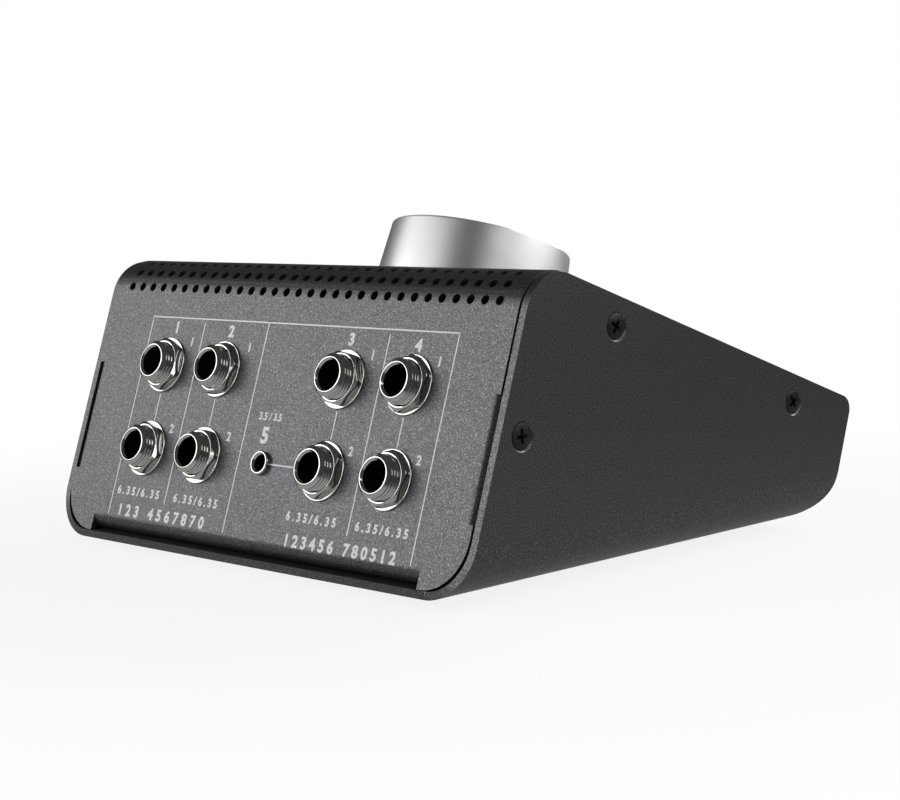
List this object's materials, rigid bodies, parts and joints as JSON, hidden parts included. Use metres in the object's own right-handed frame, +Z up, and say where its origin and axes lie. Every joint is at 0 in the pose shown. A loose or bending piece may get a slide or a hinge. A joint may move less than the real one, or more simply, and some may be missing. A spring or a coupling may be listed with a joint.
{
  "type": "studio monitor controller",
  "caption": "Desktop wedge with a large volume knob and push buttons on its sloping top, and rows of audio sockets with vent holes on the rear panel.",
  "frame": {"origin": "middle of the footprint on the desk plane, under the feet", "axes": "+Z up, +Y out of the rear panel, user at -Y, +X to the user's right"},
  "size_m": [0.135, 0.1325, 0.0752],
  "materials": {
    "case_coat": "fine-textured dark grey metallic powder coat",
    "black_screw": "black oxide, semi-gloss",
    "foot_rubber": "matt",
    "black_plastic": "moulded, matt",
    "bright_nickel": "polished nickel plate",
    "contact_bronze": "tin-plated bronze",
    "circuit_board": "green solder mask",
    "plated_steel": "zinc plate",
    "knob_aluminium": "fine turned satin",
    "marker_white": "white inlay",
    "hub_brass": "machined",
    "button_plastic": "fine matt, grey",
    "plunger_plastic": "natural",
    "switch_plastic": "moulded",
    "ribbon_grey": "grey flat cable"
  },
  "bodies": {
    "case": {"board_screws": "plated_steel", "board_standoffs": "plated_steel", "bottom_shell": "case_coat", "case_screws": "black_screw", "control_board": "circuit_board", "jack_board": "circuit_board", "jack_body_1": "black_plastic", "jack_body_2": "black_plastic", "jack_body_3": "black_plastic", "jack_body_4": "black_plastic", "jack_body_5": "black_plastic", "jack_body_6": "black_plastic", "jack_body_7": "black_plastic", "jack_body_8": "black_plastic", "jack_bushing_1": "bright_nickel", "jack_bushing_2": "bright_nickel", "jack_bushing_3": "bright_nickel", "jack_bushing_4": "bright_nickel", "jack_bushing_5": "bright_nickel", "jack_bushing_6": "bright_nickel", "jack_bushing_7": "bright_nickel", "jack_bushing_8": "bright_nickel", "jack_nuts": "bright_nickel", "jack_ring_springs": "contact_bronze", "jack_sleeve_lugs": "contact_bronze", "jack_tip_springs": "contact_bronze", "jack_washers": "bright_nickel", "mini_jack_barrel": "bright_nickel", "mini_jack_board": "circuit_board", "mini_jack_body": "black_plastic", "mini_jack_header": "black_plastic", "mini_jack_springs": "contact_bronze", "pot_gangs": "black_plastic", "pot_nut": "bright_nickel", "pot_plate": "plated_steel", "pot_washer": "bright_nickel", "ribbon_cable": "ribbon_grey", "ribbon_plugs": "black_plastic", "rubber_feet": "foot_rubber", "switch_body_1": "switch_plastic", "switch_body_2": "switch_plastic", "switch_body_3": "switch_plastic", "switch_body_4": "switch_plastic", "switch_body_5": "switch_plastic", "top_cover": "case_coat"},
    "knob": {"knob_body": "knob_aluminium", "knob_marker": "marker_white", "knob_hub": "hub_brass", "pot_shaft": "plated_steel"},
    "button_1": {"button_cap_1": "button_plastic", "switch_plunger_1": "plunger_plastic"},
    "button_2": {"button_cap_2": "button_plastic", "switch_plunger_2": "plunger_plastic"},
    "button_3": {"button_cap_3": "button_plastic", "switch_plunger_3": "plunger_plastic"},
    "button_4": {"button_cap_4": "button_plastic", "switch_plunger_4": "plunger_plastic"},
    "button_5": {"button_cap_5": "button_plastic", "switch_plunger_5": "plunger_plastic"}
  },
  "joints": [
    {"name": "knob_turn", "type": "hinge", "parent": "case", "child": "knob", "pos_m": [0, -0.00554, 0.05078], "axis": [0, -0.3256, 0.9455], "range_deg": [-150, 150]},
    {"name": "button_1_press", "type": "slide", "parent": "case", "child": "button_1", "axis": [0, 0.3256, -0.9455], "range_m": [0, 0.0025], "stiffness_N_per_m": 300, "springref_m": -0.003},
    {"name": "button_2_press", "type": "slide", "parent": "case", "child": "button_2", "axis": [0, 0.3256, -0.9455], "range_m": [0, 0.0025], "stiffness_N_per_m": 300, "springref_m": -0.003},
    {"name": "button_3_press", "type": "slide", "parent": "case", "child": "button_3", "axis": [0, 0.3256, -0.9455], "range_m": [0, 0.0025], "stiffness_N_per_m": 300, "springref_m": -0.003},
    {"name": "button_4_press", "type": "slide", "parent": "case", "child": "button_4", "axis": [0, 0.3256, -0.9455], "range_m": [0, 0.0025], "stiffness_N_per_m": 300, "springref_m": -0.003},
    {"name": "button_5_press", "type": "slide", "parent": "case", "child": "button_5", "axis": [0, 0.3256, -0.9455], "range_m": [0, 0.0025], "stiffness_N_per_m": 300, "springref_m": -0.003}
  ]
}
